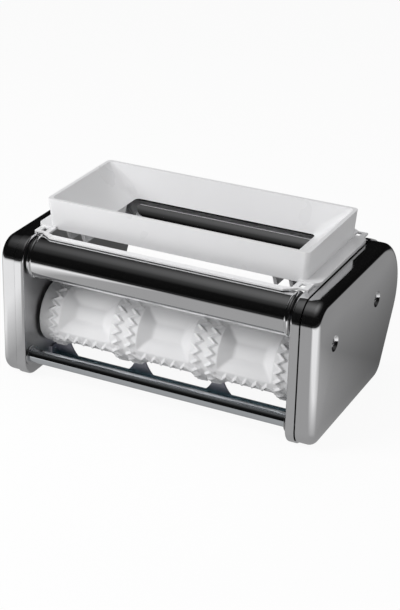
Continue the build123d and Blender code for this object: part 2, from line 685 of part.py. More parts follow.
def dough_strip():
    """The front strip, under which the dough sheet goes in, with its feet."""
    front = HOPPER_Y - HOPPER_DEPTH / 2 - STRIP_REACH
    low = FRONT_CREST_Z + FRONT_CREST_RADIUS + CREST_CLEARANCE
    corner = (Align.CENTER, Align.MIN, Align.MIN)
    strip = Pos(0, front, low) * Box(STRIP_LENGTH, STRIP_WIDTH, STRIP_HEIGHT, align=corner)
    foot = extrude(Plane.XY.offset(PLATE_HEIGHT) * strip_foot(front), amount=STRIP_HEIGHT)
    for piece in on_both_sides(foot):
        strip += piece
    return strip


def fin(x, top):
    """A rib under the hopper that reaches down between the covers, narrower towards its foot."""
    front = HOPPER_Y - HOPPER_DEPTH / 2 + HOPPER_TAPER + HOPPER_WALL - FIN_SINK
    back = front + FIN_DEPTH
    foot_z = PLATE_HEIGHT - FIN_DROP
    run = FIN_DROP * tan(radians(FIN_LEAN))
    lower = [(front + run, foot_z), (front, PLATE_HEIGHT), (front, top)]
    upper = [(back, top), (back, PLATE_HEIGHT), (back - run, foot_z)]
    face = make_face(Polyline(*lower, *upper, close=True))
    return along_x(face, x - FIN_THICKNESS / 2, x + FIN_THICKNESS / 2)


def hopper():
    """The hopper: bin, ribs, flanges that lie on the end plates, dough strips and locating tabs."""
    body = hopper_bin()
    for hollow in on_both_sides(hopper_hollow()):
        body -= hollow
    flange = Pos(0, HOPPER_Y) * RectangleRounded(FLANGE_LENGTH, FLANGE_DEPTH, FLANGE_CORNER)
    flange -= Pos(0, HOPPER_Y) * Rectangle(2 * FLANGE_INNER, FLANGE_DEPTH)
    body += extrude(Plane.XY.offset(PLATE_HEIGHT) * flange, amount=FLANGE)
    strip = dough_strip()
    body += strip
    body += mirror(strip, about=Plane.XZ.offset(-HOPPER_Y))
    tab = Box(TAB_THICKNESS, TAB_LENGTH, TAB_DEPTH + FLANGE, align=(Align.MAX, Align.CENTER, Align.MAX))
    pieces = on_both_sides(Pos(WEB_X - TAB_CLEARANCE, HOPPER_Y, PLATE_HEIGHT + FLANGE) * tab)
    pieces += on_both_sides(fin(THROAT_FIN_X, HOPPER_BOTTOM + FIN_SINK))
    pieces += on_both_sides(fin(SLOPE_FIN_X, HOPPER_BOTTOM + LEDGE_HEIGHT + FIN_SINK))
    for piece in pieces:
        body += piece
    return body


def to_rear(shape):
    """The same piece for the rear roller, mirrored across the nip."""
    return mirror(shape, about=Plane.XZ.offset(-NIP_Y))


def frame_nodes():
    nodes = {
        "right_side_plate": side_plate(RIGHT_POSTS),
        "left_side_plate": to_left(side_plate(LEFT_POSTS)),
        "right_outer_cover": outer_cover(RIGHT_POSTS),
        "left_outer_cover": left_outer_cover(),
        "front_cover": front_cover(),
        "rear_cover": rear_cover(),
        "rod_washers": Compound(rod_washers()),
        "right_rod_nuts": Compound(rod_nuts()),
        "left_rod_nuts": to_left(Compound(rod_nuts())),
        "right_cover_posts": Compound(cover_posts(RIGHT_POSTS)),
        "left_cover_posts": to_left(Compound(cover_posts(LEFT_POSTS))),
        "right_cover_screws": Compound(cover_screws(RIGHT_POSTS)),
        "left_cover_screws": to_left(Compound(cover_screws(LEFT_POSTS))),
        "front_comb": front_comb(),
        "rear_comb": to_rear(front_comb()),
        "right_comb_screws": Compound(comb_screws()),
        "left_comb_screws": to_left(Compound(comb_screws())),
        "crank_bush": crank_bush(),
    }
    for name, place in RODS.items():
        nodes[name] = tie_rod(place)
    bush = front_right_bush()
    nodes["front_right_bush"] = bush
    nodes["front_left_bush"] = to_left(bush)
    nodes["rear_right_bush"] = to_rear(bush)
    nodes["rear_left_bush"] = to_rear(to_left(bush))
    return nodes


def moving_nodes():
    roller = front_roller()
    half_tooth = pi / GEAR_TEETH
    return {
        "front_roller": roller,
        "rear_roller": to_rear(roller),
        "front_shaft": front_shaft(),
        "rear_shaft": Pos(0, REAR_ROLLER_Y, ROLLER_Z) * plain_shaft(),
        "front_gear": roller_gear(FRONT_ROLLER_Y, 0),
        "rear_gear": roller_gear(REAR_ROLLER_Y, half_tooth),
        "front_gear_key": gear_key(),
        "rear_gear_key": to_rear(gear_key()),
        "front_shaft_clip": shaft_clip(FRONT_ROLLER_Y),
        "rear_shaft_clip": shaft_clip(REAR_ROLLER_Y),
        "hopper": hopper(),
    }


os.makedirs("parts", exist_ok=True)
for name, shape in (frame_nodes() | moving_nodes()).items():
    export_step(shape, f"parts/{name}.step")
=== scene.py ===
"""A hand-cranked ravioli maker: chrome ends and covers, white toothed rollers and a lift-off hopper."""

from math import atan2, cos, pi, radians, sin, tan

import bmesh
import bpy
from bpy.props import FloatProperty, FloatVectorProperty, IntProperty, PointerProperty
from bpy.types import Operator, Panel, PropertyGroup
from mathutils import Matrix, Vector


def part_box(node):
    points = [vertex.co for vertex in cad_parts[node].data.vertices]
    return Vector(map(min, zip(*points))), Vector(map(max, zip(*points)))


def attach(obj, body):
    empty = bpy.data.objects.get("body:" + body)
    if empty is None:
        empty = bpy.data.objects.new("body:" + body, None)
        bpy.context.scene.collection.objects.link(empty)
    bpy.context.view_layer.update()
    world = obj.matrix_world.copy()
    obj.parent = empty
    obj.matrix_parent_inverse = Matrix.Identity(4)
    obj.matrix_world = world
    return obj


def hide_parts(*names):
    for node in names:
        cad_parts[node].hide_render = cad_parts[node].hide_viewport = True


bl_info = {
    "name": "Ravioli Maker",
    "version": (1, 0, 0),
    "blender": (4, 5, 0),
    "location": "3D View > Sidebar > Ravioli Maker",
    "description": "Builds the looks of a ravioli maker over its fixed frame",
    "category": "Object",
}

MM = 0.001

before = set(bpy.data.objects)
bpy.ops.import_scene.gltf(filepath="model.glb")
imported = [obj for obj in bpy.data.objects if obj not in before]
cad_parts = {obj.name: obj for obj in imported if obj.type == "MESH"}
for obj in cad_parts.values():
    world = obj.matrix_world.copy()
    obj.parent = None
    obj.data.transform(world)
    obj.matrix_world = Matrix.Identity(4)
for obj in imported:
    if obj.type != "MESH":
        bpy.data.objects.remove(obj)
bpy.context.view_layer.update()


# The camera's fit to the photograph.

PHOTO_HEIGHT = 610
PHOTO_WIDTH = 400
FOCAL_PIXELS = 1628.88
CENTRE_PIXELS = (179.61, 295.6)
CAMERA_AZIMUTH = radians(26.42)
CAMERA_ELEVATION = radians(25.04)
CAMERA_ROLL = radians(1.07)
CAMERA_SHIFT = (17.74, 69.23)
CAMERA_DISTANCE = 963.43
CAMERA_Y = -68.0


def size(name, text, default, **limits):
    """A length in metres with its default given in millimetres."""
    return FloatProperty(name=name, description=text, default=default * MM, subtype="DISTANCE", **limits)


def angle(name, text, default):
    """An angle with its default given in degrees."""
    return FloatProperty(name=name, description=text, default=radians(default), subtype="ANGLE")


def factor(name, text, default, **limits):
    """A plain number."""
    return FloatProperty(name=name, description=text, default=default, **limits)


def count(name, text, default, least=1):
    """A whole number."""
    return IntProperty(name=name, description=text, default=default, min=least)


def tint(name, text, default):
    """A plain colour."""
    limits = {"size": 3, "min": 0, "max": 1}
    return FloatVectorProperty(name=name, description=text, default=default, subtype="COLOR", **limits)


class RavioliCoverSizes(PropertyGroup):
    sheet: size("Sheet", "Thickness of the chrome sheet", 1.0)
    front_crest: size("Front Crest", "Radius of the front cover's round top", 13.0)
    front_wrap: angle("Front Wrap", "How far the front cover curls in under its crest's middle", 50)
    rear_crest: size("Rear Crest Radius", "Radius of the rear cover's round top", 12.0)
    front_y: size("Front", "Where the front cover stands", -66.0)
    front_crest_z: size("Front Crest Height", "Height of the middle of the front crest", 77.5)
    rod_z: size("Rod Height", "Height of the upper rods", 78.5)
    rear_crest_y: size("Rear Crest", "Middle of the rear crest", 32.0)
    rear_crest_z: size("Rear Crest Height", "Height of the middle of the rear crest", 77.0)
    back_z: size("Back Height", "Height of the middle of the rear cover's back", 55.0)
    back_radius: size("Back Radius", "Radius of the rear cover's back", 34.0)
    back_wrap: angle("Back Wrap", "How far the back goes round under the level of its middle", 8)
    lean: angle("Inner Wall Lean", "Slope of the walls over the rollers", 25)
    inner_low: size("Inner Edge", "Height of the lower edge of both inner walls", 70.0)
    half_length: size("Half Length", "From the middle to either end", 84.6)
    bead: size("Rolled Edge", "Radius of the rolled edge at each end", 1.6)
    bead_sink: size("Rolled Edge Depth", "How far the rolled edge's middle lies under the sheet's face", 0.9)
    cheek: size("Cheek", "Thickness of the plate in each end", 1.2)
    cheek_inset: size("Cheek Inset", "How far a cheek lies inside the sheet's end", 0.05)
    rod: size("Rod Hole", "Radius of the hole for the upper rod", 4.3)


class RavioliRollerSizes(PropertyGroup):
    tip: size("Rib Radius", "From the axis to the top of a rib", 21.008)
    rib: size("Rib Height", "Height of the toothed ribs", 1.5)
    crest: size("Rib Crest", "Width of the flat top of a rib", 0.8)
    foot: size("Rib Foot", "Width of a rib at the roller's surface", 2.2)
    swing: size("Tooth Swing", "How far the teeth reach to each side", 2.2)
    cell: size("Cell", "Length of a cell along the roller", 44.0)
    pitch: size("Cell Pitch", "From one cell to the next", 53.0)
    half_length: size("Half Length", "From the middle to either end", 84.6)
    shaft: size("Shaft", "Radius of the hole for the shaft", 6.0)
    pocket: size("Pocket Depth", "Depth of the pocket that shapes the filling", 6.0)
    pocket_length: size("Pocket Mouth Length", "Length of a pocket at the surface", 35.0)
    pocket_width: size("Pocket Mouth Width", "Width of a pocket at the surface", 34.4)
    end_draft: factor("End Draft", "Slope of a pocket's end walls", 1.3)
    side_draft: factor("Side Draft", "Slope of a pocket's side walls", 1.6)
    blend: size("Pocket Blend", "How softly the walls of a pocket meet", 1.6)
    start: angle("First Row", "Angle of the first row of ribs", 206)
    rows: count("Rows", "Cells round the roller", 3)
    teeth: count("Teeth", "Teeth along one side of a cell", 7)
    row_leg: size("Row End", "Plain stretch at each end of a rib along the roller", 7.5)
    row_steps: count("Row Steps", "Half teeth of a rib along the roller", 9)
    along: count("Grid Along", "Points along the roller", 341, 16)
    around: count("Grid Around", "Points round the roller", 265, 16)


class RavioliScrewSizes(PropertyGroup):
    cover_head: size("Cover Screw Head", "Radius of a cover screw's head", 3.0)
    comb_head: size("Comb Screw Head", "Radius of a comb screw's head", 2.8)
    head_height: size("Head Height", "Height of a head over its seat", 1.8)
    recess: size("Cross Depth", "Depth of the cross in a head", 0.9)
    washer: size("Washer", "Outer radius of a rod washer", 6.2)
    washer_hole: size("Washer Hole", "Inner radius of a rod washer", 3.05)
    washer_sheet: size("Washer Thickness", "Thickness of a rod washer", 1.0)
    washer_edge: size("Washer Edge", "Bevel round a rod washer", 0.2)


class RavioliColours(PropertyGroup):
    chrome: tint("Chrome", "Polished sheet and bar", (0.80, 0.80, 0.81))
    bar: tint("Bar", "Polished bar with a cool cast", (0.74, 0.77, 0.80))
    steel: tint("Steel", "Turned and zinc-plated steel", (0.62, 0.62, 0.63))
    # The comb's blue flange is partly its passivated finish and partly a painted bluish reflection; the
    # grey-violet of its fingers is a painted sheen.
    teal: tint("Comb Edge", "The comb's blue passivated flange", (0.33, 0.50, 0.55))
    painted_finger_sheen: tint("Comb Fingers", "The grey sheen on the comb's fingers", (0.48, 0.48, 0.55))
    plastic: tint("Plastic", "White moulded plastic", (0.86, 0.86, 0.87))
    brass: tint("Bush", "Turned brass", (0.72, 0.55, 0.27))
    nylon: tint("Crank Bush", "Dark moulded nylon", (0.03, 0.03, 0.033))


class RavioliStage(PropertyGroup):
    key: factor("Key Light", "Power of the soft light on the left", 5.8, unit="POWER")
    fill: factor("Fill Light", "Power of the soft light on the right", 1.3, unit="POWER")
    top: factor("Top Light", "Power of the soft light overhead", 1.9, unit="POWER")
    ambient: factor("Ambient", "Plain light from all round", 0.27, min=0)
    floor: size("Floor", "Width of the floor", 6000.0)
    whiteness: factor("Floor Whiteness", "How far the floor is plain white to the camera", 0.93, min=0, max=1)


# Materials.

# The web of a side plate, with its painted shade, ends and its rim begins within this distance.
RIM_BLEND = 0.2 * MM
# The comb is blue up to the first height and has a painted grey-violet sheen from the second.
COMB_BLUE_TOP = 1.4 * MM
COMB_SHEEN_FOOT = 4.4 * MM


def add_node(tree, kind, **values):
    """A node with its settings and plain input values."""
    node = tree.nodes.new(kind)
    for name, value in values.items():
        if hasattr(node, name):
            setattr(node, name, value)
        else:
            node.inputs[name.replace("_", " ").title()].default_value = value
    return node


def noise(tree, scale, detail=3.0, stretch=(1, 1, 1)):
    """Noise on the piece's own coordinates, stretched along an axis."""
    place = add_node(tree, "ShaderNodeTexCoord")
    mapping = add_node(tree, "ShaderNodeMapping", Scale=stretch)
    pattern = add_node(tree, "ShaderNodeTexNoise", Scale=scale, Detail=detail)
    tree.links.new(place.outputs["Object"], mapping.inputs["Vector"])
    tree.links.new(mapping.outputs["Vector"], pattern.inputs["Vector"])
    return pattern.outputs["Fac"]


def ramp(tree, source, low, high):
    """A value carried from 0..1 into a narrower range."""
    node = add_node(tree, "ShaderNodeMapRange", From_Min=0.3, From_Max=0.7, To_Min=low, To_Max=high)
    tree.links.new(source, node.inputs["Value"])
    return node.outputs["Result"]


def shades(tree, source, stops):
    """Colours along a value."""
    node = add_node(tree, "ShaderNodeValToRGB")
    elements = node.color_ramp.elements
    while len(elements) < len(stops):
        elements.new(0.5)
    for element, (place, colour) in zip(elements, stops):
        element.position = place
        element.color = (*colour, 1)
    tree.links.new(source, node.inputs["Fac"])
    return node.outputs["Color"]


def scaled(colour, factor):
    return tuple(min(1, part * factor) for part in colour)


def surface(name, metallic, roughness):
    """A material with its shader, ready for patterns."""
    material = bpy.data.materials.new(name)
    material.use_nodes = True
    shader = material.node_tree.nodes["Principled BSDF"]
    shader.inputs["Metallic"].default_value = metallic
    shader.inputs["Roughness"].default_value = roughness
    return material, material.node_tree, shader


def bump(tree, shader, height, strength, distance):
    node = add_node(tree, "ShaderNodeBump", Strength=strength, Distance=distance)
    tree.links.new(height, node.inputs["Height"])
    tree.links.new(node.outputs["Normal"], shader.inputs["Normal"])


def polished(name, colour, low=0.03, high=0.10):
    """Polished chrome: faint smudges in its gloss and the slightest waviness."""
    material, tree, shader = surface(name, 1.0, low)
    smudge = noise(tree, 24, 4)
    tone = shades(tree, smudge, [(0.35, colour), (0.75, scaled(colour, 0.96))])
    tree.links.new(tone, shader.inputs["Base Color"])
    tree.links.new(ramp(tree, smudge, low, high), shader.inputs["Roughness"])
    bump(tree, shader, noise(tree, 35, 2), 0.02, 0.0006)
    return material


def pressed(name, colour, web):
    """Pressed plate: polished rim, and a satin web on the side of the rollers, its colour darkened as painted
    shade.
    """
    material, tree, shader = surface(name, 1.0, 0.08)
    place = add_node(tree, "ShaderNodeTexCoord")
    aside = add_node(tree, "ShaderNodeSeparateXYZ")
    tree.links.new(place.outputs["Object"], aside.inputs["Vector"])
    outward = Rule(tree).of("ABSOLUTE", aside.outputs["X"])
    rim = add_node(tree, "ShaderNodeMapRange", From_Min=web, From_Max=web + RIM_BLEND)
    tree.links.new(outward, rim.inputs["Value"])
    # Painted shade: the web's colour is darkened to 0.7 of the rim's, for the shade beside the rollers' ends;
    # its duller gloss is the plate's own satin finish.
    tone = shades(tree, rim.outputs["Result"], [(0, scaled(colour, 0.7)), (1, colour)])
    tree.links.new(tone, shader.inputs["Base Color"])
    gloss = add_node(tree, "ShaderNodeMapRange", To_Min=0.3, To_Max=0.07)
    tree.links.new(rim.outputs["Result"], gloss.inputs["Value"])
    smudge = ramp(tree, noise(tree, 24, 4), 0.0, 0.06)
    tree.links.new(Rule(tree).of("ADD", gloss.outputs["Result"], smudge), shader.inputs["Roughness"])
    bump(tree, shader, noise(tree, 35, 2), 0.02, 0.0006)
    return material


def brushed(name, colour, low=0.2, high=0.38, stretch=(4, 60, 60)):
    """Turned or rolled steel with fine lines along one axis."""
    material, tree, shader = surface(name, 1.0, low)
    lines = noise(tree, 40, 5, stretch)
    tone = shades(tree, lines, [(0.3, scaled(colour, 0.82)), (0.7, colour)])
    tree.links.new(tone, shader.inputs["Base Color"])
    tree.links.new(ramp(tree, lines, low, high), shader.inputs["Roughness"])
    bump(tree, shader, lines, 0.08, 0.0002)
    return material


def moulded(name, colour, low=0.28, high=0.42, coat=0.15):
    """Moulded plastic with a soft sheen and the faint orange peel of the mould."""
    material, tree, shader = surface(name, 0.0, low)
    cloud = noise(tree, 30, 3)
    tone = shades(tree, cloud, [(0.3, scaled(colour, 0.975)), (0.7, colour)])
    tree.links.new(tone, shader.inputs["Base Color"])
    tree.links.new(ramp(tree, cloud, low, high), shader.inputs["Roughness"])
    bump(tree, shader, noise(tree, 900, 2), 0.05, 0.0001)
    shader.inputs["Coat Weight"].default_value = coat
    shader.inputs["Coat Roughness"].default_value = 0.3
    return material


def comb_sheet(name, low_colour, painted_sheen_colour):
    """Passivated sheet: blue along the lower flange, with a painted bluish reflection in it, and a painted
    grey sheen up the fingers.
    """
    material, tree, shader = surface(name, 1.0, 0.3)
    place = add_node(tree, "ShaderNodeTexCoord")
    height = add_node(tree, "ShaderNodeSeparateXYZ")
    tree.links.new(place.outputs["Object"], height.inputs["Vector"])
    level = add_node(tree, "ShaderNodeMapRange", From_Min=COMB_BLUE_TOP, From_Max=COMB_SHEEN_FOOT)
    tree.links.new(height.outputs["Z"], level.inputs["Value"])
    # Painted sheen: the colour turns from the flange's blue to a grey-violet up the fingers.
    tone = shades(tree, level.outputs["Result"], [(0, low_colour), (1, painted_sheen_colour)])
    tree.links.new(tone, shader.inputs["Base Color"])
    grain = noise(tree, 60, 4, (3, 30, 30))
    tree.links.new(ramp(tree, grain, 0.26, 0.42), shader.inputs["Roughness"])
    bump(tree, shader, grain, 0.06, 0.0002)
    return material


def finishes():
    """Every material of the object, made once."""
    if "Polished Cover" in bpy.data.materials:
        return {material.name: material for material in bpy.data.materials}
    colours = bpy.context.scene.ravioli_colours
    made = [
        polished("Polished Cover", colours.chrome),
        pressed("Pressed Plate", scaled(colours.chrome, 0.97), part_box("right_side_plate")[0].x + 0.1 * MM),
        polished("Deep-Drawn End", scaled(colours.chrome, 0.95), 0.06, 0.14),
        polished("Bright Bar", colours.bar, 0.04, 0.10),
        brushed("Zinc Screw", colours.steel),
        brushed("Ground Shaft", scaled(colours.steel, 0.95), 0.12, 0.25, (60, 4, 4)),
        brushed("Cut Gear", scaled(colours.steel, 0.8), 0.25, 0.45),
        brushed("Turned Bush", colours.brass, 0.22, 0.36),
        comb_sheet("Comb Sheet", colours.teal, colours.painted_finger_sheen),
        moulded("Roller Plastic", colours.plastic, 0.30, 0.44, 0.1),
        moulded("Hopper Plastic", colours.plastic, 0.26, 0.38, 0.2),
        moulded("Crank Nylon", colours.nylon, 0.42, 0.56, 0.0),
    ]
    return {material.name: material for material in made}


# Meshes.


def add_piece(name, mesh, material, body, slot, *nodes):
    """A finished piece: its material, the body that it rides on and what it stands for."""
    piece = bpy.data.objects.new(name, mesh)
    bpy.context.scene.collection.objects.link(piece)
    mesh.materials.clear()
    mesh.materials.append(finishes()[material])
    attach(piece, body)
    if nodes:
        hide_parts(*nodes)
    return piece


def mesh_from(bm, name, sharp=radians(40)):
    """A mesh with smooth faces and sharp edges where two faces meet steeply."""
    for face in bm.faces:
        face.smooth = True
    for edge in bm.edges:
        edge.smooth = len(edge.link_faces) == 2 and edge.calc_face_angle(0) < sharp
    mesh = bpy.data.meshes.new(name)
    bm.to_mesh(mesh)
    bm.free()
    return mesh


def merged_copy(node):
    """The CAD node's mesh with its doubles merged and its degenerate edges and faces dissolved."""
    bm = bmesh.new()
    bm.from_mesh(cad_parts[node].data)
    bmesh.ops.remove_doubles(bm, verts=bm.verts, dist=2e-6)
    bmesh.ops.dissolve_degenerate(bm, edges=bm.edges, dist=1e-6)
    return bm


def softened(node, material, body, slot, width=0.25, sharp=radians(32)):
    """A CAD node with smooth curves and slightly rounded edges."""
    bm = merged_copy(node)
    if width:
        bmesh.ops.dissolve_limit(bm, angle_limit=radians(0.4), verts=bm.verts, edges=bm.edges)
    piece = add_piece(f"{node}_finish", mesh_from(bm, node, sharp), material, body, slot, node)
    if width:
        bevel = piece.modifiers.new("Edges", "BEVEL")
        bevel.width = width * MM
        bevel.segments = 2
        bevel.limit_method = "ANGLE"
        bevel.angle_limit = sharp
        bevel.harden_normals = True
        bevel.use_clamp_overlap = True
    return piece


def arc(centre, radius, start, end, steps):
    """Points along an arc, its angles counted from +Y towards +Z."""
    angles = [start + (end - start) * i / steps for i in range(steps + 1)]
    return [(centre[0] + radius * cos(a), centre[1] + radius * sin(a)) for a in angles]


def spoked(radius, spokes):
    """Points evenly round the X axis, as Y and Z."""
    return arc((0, 0), radius, 0, 2 * pi, spokes)[:-1]


def band(bm, first, second):
    """The faces between two rings of vertices."""
    for i in range(len(first)):
        j = (i + 1) % len(first)
        bm.faces.new((first[i], first[j], second[j], second[i]))


def front_line(sizes, sink=0.0):
    """The front cover from its curled-in edge over the crest to its inner edge, a depth under its face."""
    middle = (sizes.front_y + sizes.front_crest, sizes.front_crest_z)
    points = arc(middle, sizes.front_crest - sink, pi + sizes.front_wrap, sizes.lean, 64)
    y, z = points[-1]
    points.append((y + (z - sizes.inner_low) * tan(sizes.lean), sizes.inner_low))
    return points


def rear_line(sizes, sink=0.0):
    """The rear cover from its inner edge over the crest and down the back, a depth under its face."""
    radius = sizes.rear_crest - sink
    middle = (sizes.rear_crest_y, sizes.rear_crest_z)
    crest = arc(middle, radius, pi - sizes.lean, pi / 2, 20)
    y, z = crest[0]
    foot = (y - (z - sizes.inner_low) * tan(sizes.lean), sizes.inner_low)
    back = arc((sizes.rear_crest_y, sizes.back_z), sizes.back_radius - sink, pi / 2, -sizes.back_wrap, 40)
    return [foot] + crest + back[1:]


def cover_mesh(sizes, line, rod):
    """A bent sheet with a cheek in each end and the rod's hole through it."""
    outer = line(sizes)
    inner = line(sizes, sizes.sheet)
    half = sizes.half_length
    bm = bmesh.new()
    rows = [[bm.verts.new((x, y, z)) for y, z in outer + inner[::-1]] for x in (-half, half)]
    points = len(outer)
    band(bm, *rows)
    for row in rows:
        for i in range(points - 1):
            bm.faces.new((row[i], row[i + 1], row[2 * points - 2 - i], row[2 * points - 1 - i]))
    inset = sizes.cheek_inset
    cheek = line(sizes, sizes.sheet - inset)
    for side in (-1, 1):
        add_cheek(bm, cheek, rod, sizes, side * (half - inset), side * (half - sizes.cheek))
    bmesh.ops.recalc_face_normals(bm, faces=bm.faces)
    return mesh_from(bm, "cover")


def add_cheek(bm, outline, rod, sizes, outer_x, inner_x):
    """A plate that fills a cover's end, with a round hole."""
    hole = []
    for y, z in outline:
        angle = atan2(z - rod[1], y - rod[0])
        hole.append((rod[0] + sizes.rod * cos(angle), rod[1] + sizes.rod * sin(angle)))
    rings = [(outer_x, outline), (outer_x, hole), (inner_x, hole), (inner_x, outline)]
    verts = [[bm.verts.new((x, y, z)) for y, z in ring] for x, ring in rings]
    for k in range(len(verts)):
        band(bm, verts[k], verts[(k + 1) % len(verts)])


# Geometry Nodes.


def new_tree(name, inputs):
    """A geometry tree with named inputs, each with its kind and default."""
    tree = bpy.data.node_groups.new(name, "GeometryNodeTree")
    tree.interface.new_socket("Geometry", in_out="INPUT", socket_type="NodeSocketGeometry")
    for label, kind, default in inputs:
        socket = tree.interface.new_socket(label, in_out="INPUT", socket_type=kind)
        if default is not None:
            socket.default_value = default
    tree.interface.new_socket("Geometry", in_out="OUTPUT", socket_type="NodeSocketGeometry")
    return tree, tree.nodes.new("NodeGroupInput")


def finish_tree(tree, geometry, material):
    """The tree's end: real geometry with its material."""
    realize = tree.nodes.new("GeometryNodeRealizeInstances")
    paint = tree.nodes.new("GeometryNodeSetMaterial")
    output = tree.nodes.new("NodeGroupOutput")
    paint.inputs["Material"].default_value = finishes()[material]
    tree.links.new(geometry, realize.inputs["Geometry"])
    tree.links.new(realize.outputs["Geometry"], paint.inputs["Geometry"])
    tree.links.new(paint.outputs["Geometry"], output.inputs["Geometry"])


def grow(tree, seed, values):
    """The mesh that a tree makes from a seed mesh, with its inputs set by name."""
    host = bpy.data.objects.new("host", seed)
    bpy.context.scene.collection.objects.link(host)
    modifier = host.modifiers.new("Grow", "NODES")
    modifier.node_group = tree
    for item in tree.interface.items_tree:
        if item.item_type == "SOCKET" and item.in_out == "INPUT" and item.name in values:
            modifier[item.identifier] = values[item.name]
    bpy.context.view_layer.update()
    graph = bpy.context.evaluated_depsgraph_get()
    mesh = bpy.data.meshes.new_from_object(host.evaluated_get(graph))
    host.modifiers.remove(modifier)
    bpy.data.objects.remove(host)
    return mesh


def path_mesh(lines):
    """Open runs of edges for a tree to follow."""
    points, edges = [], []
    for line in lines:
        edges += [(len(points) + i, len(points) + i + 1) for i in range(len(line) - 1)]
        points += line
    mesh = bpy.data.meshes.new("path")
    mesh.from_pydata(points, edges, [])
    return mesh


def rolled_edge_tree(material):
    """Follows each path with a round edge."""
    inputs = [("Radius", "NodeSocketFloat", 1.0 * MM), ("Sides", "NodeSocketInt", 16)]
    tree, given = new_tree("Rolled Edge", inputs)
    curve = tree.nodes.new("GeometryNodeMeshToCurve")
    circle = tree.nodes.new("GeometryNodeCurvePrimitiveCircle")
    sweep = tree.nodes.new("GeometryNodeCurveToMesh")
    smooth = tree.nodes.new("GeometryNodeSetShadeSmooth")
    sweep.inputs["Fill Caps"].default_value = True
    tree.links.new(given.outputs["Geometry"], curve.inputs["Mesh"])
    tree.links.new(given.outputs["Radius"], circle.inputs["Radius"])
    tree.links.new(given.outputs["Sides"], circle.inputs["Resolution"])
    tree.links.new(curve.outputs["Curve"], sweep.inputs["Curve"])
    tree.links.new(circle.outputs["Curve"], sweep.inputs["Profile Curve"])
    tree.links.new(sweep.outputs["Mesh"], smooth.inputs["Geometry"])
    finish_tree(tree, smooth.outputs["Geometry"], material)
    return tree


def fastener_tree(material):
    """Sets one fastener on each point, turned about the vertical."""
    inputs = [("Fastener", "NodeSocketObject", None), ("Turn", "NodeSocketFloat", 0.0)]
    tree, given = new_tree("Fasteners", inputs)
    info = tree.nodes.new("GeometryNodeObjectInfo")
    turn = tree.nodes.new("ShaderNodeCombineXYZ")
    place = tree.nodes.new("GeometryNodeInstanceOnPoints")
    tree.links.new(given.outputs["Geometry"], place.inputs["Points"])
    tree.links.new(given.outputs["Fastener"], info.inputs["Object"])
    tree.links.new(info.outputs["Geometry"], place.inputs["Instance"])
    tree.links.new(given.outputs["Turn"], turn.inputs["Z"])
    tree.links.new(turn.outputs["Vector"], place.inputs["Rotation"])
    finish_tree(tree, place.outputs["Instances"], material)
    return tree


class Rule:
    """Writes arithmetic as nodes, so that a tree can hold the rule of a surface."""

    def __init__(self, tree):
        self.tree = tree

    def of(self, operation, *values):
        node = self.tree.nodes.new("ShaderNodeMath")
        node.operation = operation
        for socket, value in zip(node.inputs, values):
            if isinstance(value, (int, float)):
                socket.default_value = value
            else:
                self.tree.links.new(value, socket)
        return node.outputs["Value"]

    def clamped(self, value):
        return self.of("MAXIMUM", self.of("MINIMUM", value, 1.0), 0.0)

    def zigzag(self, along, step, swing):
        """A wave that climbs through one step and falls through the next."""
        climb = self.of("DIVIDE", self.of("PINGPONG", along, step), step)
        return self.of("MULTIPLY", self.of("SUBTRACT", self.of("MULTIPLY", climb, 2.0), 1.0), swing)


# The roller's grid: how far it runs past the ends, the cells along it, how much closer a slanted tooth's
# flank is than its distance along the axis, and the gap that closes at the seam.
GRID_OVERLENGTH = 1.006
CELLS_ALONG = 3
TOOTH_SLANT = 0.62
SEAM_GAP = 0.01 * MM


